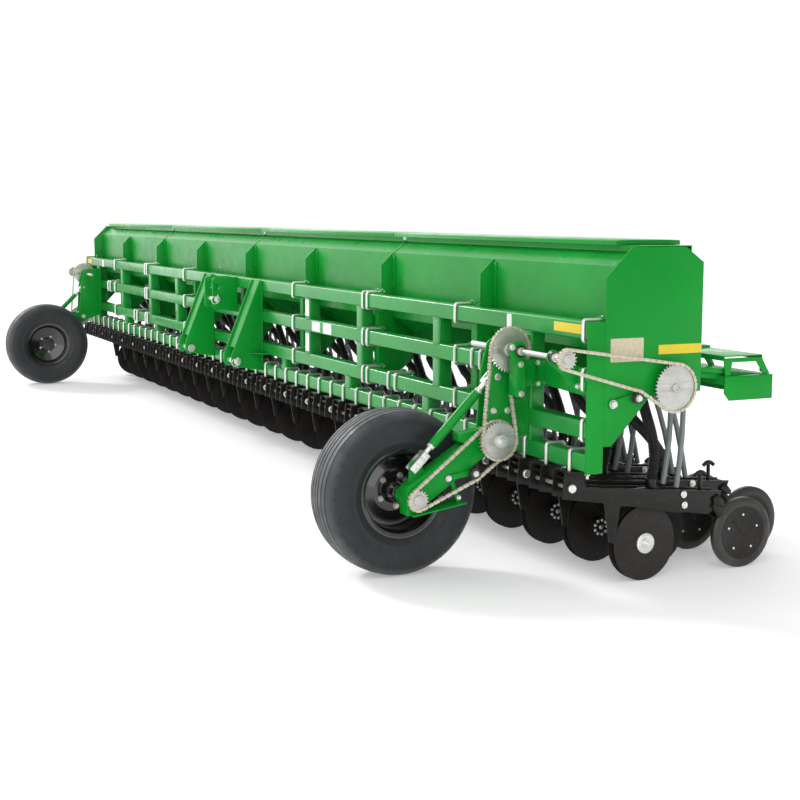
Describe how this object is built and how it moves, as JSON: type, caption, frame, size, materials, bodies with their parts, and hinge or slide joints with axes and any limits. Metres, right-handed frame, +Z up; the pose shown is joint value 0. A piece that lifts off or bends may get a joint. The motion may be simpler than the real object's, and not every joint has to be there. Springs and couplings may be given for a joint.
{
  "type": "mounted seed drill",
  "caption": "Wide mounted seed drill: long seed box on a three-bar toolbar frame, disc openers with press wheels, two chain-drive gauge wheels and a three-point hitch.",
  "frame": {"origin": "on the ground under the middle of the machine's box", "axes": "+X to the left side of the machine, -Y forwards to the tractor, +Z up"},
  "size_m": [9.32, 2.246, 1.5208],
  "materials": {
    "enamel_green": "gloss green enamel",
    "enamel_black": "satin black enamel",
    "zinc": "bright zinc plate",
    "tyre": "ribbed implement tyre"
  },
  "bodies": {
    "frame": {"hopper": "enamel_green", "hopper_bracket_1": "enamel_green", "hopper_bracket_2": "enamel_green", "hopper_bracket_3": "enamel_green", "hopper_bracket_4": "enamel_green", "hopper_bracket_5": "enamel_green", "hopper_bracket_6": "enamel_green", "hopper_bracket_7": "enamel_green", "left_drive_bracket": "enamel_green", "left_end_panel": "enamel_green", "left_end_plate": "enamel_green", "left_feed_chain": "zinc", "left_jack_chain": "zinc", "left_lower_hitch": "enamel_green", "lower_toolbar": "enamel_green", "middle_toolbar": "enamel_green", "opener_gang_1": "enamel_black", "opener_gang_2": "enamel_black", "opener_gang_3": "enamel_black", "opener_gang_4": "enamel_black", "opener_gang_5": "enamel_black", "opener_gang_6": "enamel_black", "right_drive_bracket": "enamel_green", "right_end_panel": "enamel_green", "right_end_plate": "enamel_green", "right_feed_chain": "zinc", "right_jack_chain": "zinc", "right_lower_hitch": "enamel_green", "seed_meters": "enamel_black", "top_hitch": "enamel_green", "upper_toolbar": "enamel_green"},
    "lid_1": {"hopper_lid_1": "enamel_green"},
    "lid_2": {"hopper_lid_2": "enamel_green"},
    "lid_3": {"hopper_lid_3": "enamel_green"},
    "lid_4": {"hopper_lid_4": "enamel_green"},
    "walkboard": {"walkboard": "enamel_green"},
    "left_arm": {"left_gauge_arm": "enamel_green", "left_wheel_chain": "zinc"},
    "left_wheel": {"left_gauge_wheel": "enamel_black", "left_tyre": "tyre"},
    "left_sprockets": {"left_pivot_sprocket": "zinc"},
    "left_jackshaft": {"left_jackshaft": "zinc"},
    "left_feed_shaft": {"left_feed_shaft": "zinc"},
    "left_tube": {"left_turnbuckle_tube": "enamel_green"},
    "left_rod": {"left_turnbuckle_rod": "zinc"},
    "left_disc": {"left_end_disc": "enamel_black"},
    "left_press": {"left_end_press_wheel": "enamel_black"},
    "right_arm": {"right_gauge_arm": "enamel_green", "right_wheel_chain": "zinc"},
    "right_wheel": {"right_gauge_wheel": "enamel_black", "right_tyre": "tyre"},
    "right_sprockets": {"right_pivot_sprocket": "zinc"},
    "right_jackshaft": {"right_jackshaft": "zinc"},
    "right_feed_shaft": {"right_feed_shaft": "zinc"},
    "right_tube": {"right_turnbuckle_tube": "enamel_green"},
    "right_rod": {"right_turnbuckle_rod": "zinc"},
    "right_disc": {"right_end_disc": "enamel_black"},
    "right_press": {"right_end_press_wheel": "enamel_black"}
  },
  "joints": [
    {"name": "lid_1_hinge", "type": "hinge", "parent": "frame", "child": "lid_1", "pos_m": [0, 0.373, 1.4985], "axis": [-1, 0, 0], "range_deg": [0, 105]},
    {"name": "lid_2_hinge", "type": "hinge", "parent": "frame", "child": "lid_2", "pos_m": [0, 0.373, 1.4985], "axis": [-1, 0, 0], "range_deg": [0, 105]},
    {"name": "lid_3_hinge", "type": "hinge", "parent": "frame", "child": "lid_3", "pos_m": [0, 0.373, 1.4985], "axis": [-1, 0, 0], "range_deg": [0, 105]},
    {"name": "lid_4_hinge", "type": "hinge", "parent": "frame", "child": "lid_4", "pos_m": [0, 0.373, 1.4985], "axis": [-1, 0, 0], "range_deg": [0, 105]},
    {"name": "walkboard_hinge", "type": "hinge", "parent": "frame", "child": "walkboard", "pos_m": [0, 0.429, 0.925], "axis": [1, 0, 0], "range_deg": [0, 78]},
    {"name": "left_arm_hinge", "type": "hinge", "parent": "frame", "child": "left_arm", "pos_m": [4.075, -0.357, 0.624], "axis": [1, 0, 0], "range_deg": [-8, 8]},
    {"name": "left_wheel_spin", "type": "hinge", "parent": "left_arm", "child": "left_wheel", "pos_m": [3.888, -0.743, 0.38], "axis": [1, 0, 0], "continuous": true},
    {"name": "left_sprockets_spin", "type": "hinge", "parent": "frame", "child": "left_sprockets", "pos_m": [4.075, -0.357, 0.624], "axis": [1, 0, 0], "continuous": true},
    {"name": "left_jackshaft_spin", "type": "hinge", "parent": "frame", "child": "left_jackshaft", "pos_m": [4.075, -0.309, 1.031], "axis": [1, 0, 0], "continuous": true},
    {"name": "left_feed_shaft_spin", "type": "hinge", "parent": "frame", "child": "left_feed_shaft", "pos_m": [4.075, 0.245, 0.886], "axis": [1, 0, 0], "continuous": true},
    {"name": "left_tube_hinge", "type": "hinge", "parent": "frame", "child": "left_tube", "pos_m": [4.075, -0.346, 0.907], "axis": [1, 0, 0], "range_deg": [-5.9, 5.9]},
    {"name": "left_rod_slide", "type": "slide", "parent": "left_tube", "child": "left_rod", "axis": [0, -0.7089, -0.7053], "range_m": [-0.0309, 0.0309]},
    {"name": "right_arm_hinge", "type": "hinge", "parent": "frame", "child": "right_arm", "pos_m": [-4.075, -0.357, 0.624], "axis": [1, 0, 0], "range_deg": [-8, 8]},
    {"name": "right_wheel_spin", "type": "hinge", "parent": "right_arm", "child": "right_wheel", "pos_m": [-3.888, -0.743, 0.38], "axis": [1, 0, 0], "continuous": true},
    {"name": "right_sprockets_spin", "type": "hinge", "parent": "frame", "child": "right_sprockets", "pos_m": [-4.075, -0.357, 0.624], "axis": [1, 0, 0], "continuous": true},
    {"name": "right_jackshaft_spin", "type": "hinge", "parent": "frame", "child": "right_jackshaft", "pos_m": [-4.075, -0.309, 1.031], "axis": [1, 0, 0], "continuous": true},
    {"name": "right_feed_shaft_spin", "type": "hinge", "parent": "frame", "child": "right_feed_shaft", "pos_m": [-4.075, 0.245, 0.886], "axis": [1, 0, 0], "continuous": true},
    {"name": "right_tube_hinge", "type": "hinge", "parent": "frame", "child": "right_tube", "pos_m": [-4.075, -0.346, 0.907], "axis": [1, 0, 0], "range_deg": [-5.9, 5.9]},
    {"name": "right_rod_slide", "type": "slide", "parent": "right_tube", "child": "right_rod", "axis": [0, -0.7089, -0.7053], "range_m": [-0.0309, 0.0309]},
    {"name": "left_disc_spin", "type": "hinge", "parent": "frame", "child": "left_disc", "pos_m": [4.4768, 0.212, 0.1715], "axis": [1, 0, 0], "continuous": true},
    {"name": "left_press_spin", "type": "hinge", "parent": "frame", "child": "left_press", "pos_m": [4.4768, 0.763, 0.165], "axis": [1, 0, 0], "continuous": true},
    {"name": "right_disc_spin", "type": "hinge", "parent": "frame", "child": "right_disc", "pos_m": [-4.4768, 0.407, 0.1715], "axis": [1, 0, 0], "continuous": true},
    {"name": "right_press_spin", "type": "hinge", "parent": "frame", "child": "right_press", "pos_m": [-4.4768, 0.958, 0.165], "axis": [1, 0, 0], "continuous": true}
  ],
  "couplings": [
    {"joint": "left_sprockets_spin", "follows": "left_wheel_spin", "ratio": 0.52326},
    {"joint": "left_jackshaft_spin", "follows": "left_wheel_spin", "ratio": 0.45918},
    {"joint": "left_feed_shaft_spin", "follows": "left_wheel_spin", "ratio": 0.18544},
    {"joint": "left_tube_hinge", "follows": "left_arm_hinge", "ratio": 0.61859},
    {"joint": "left_rod_slide", "follows": "left_arm_hinge", "m_per_rad": 0.19269},
    {"joint": "right_sprockets_spin", "follows": "right_wheel_spin", "ratio": 0.52326},
    {"joint": "right_jackshaft_spin", "follows": "right_wheel_spin", "ratio": 0.45918},
    {"joint": "right_feed_shaft_spin", "follows": "right_wheel_spin", "ratio": 0.18544},
    {"joint": "right_tube_hinge", "follows": "right_arm_hinge", "ratio": 0.61859},
    {"joint": "right_rod_slide", "follows": "right_arm_hinge", "m_per_rad": 0.19269}
  ]
}
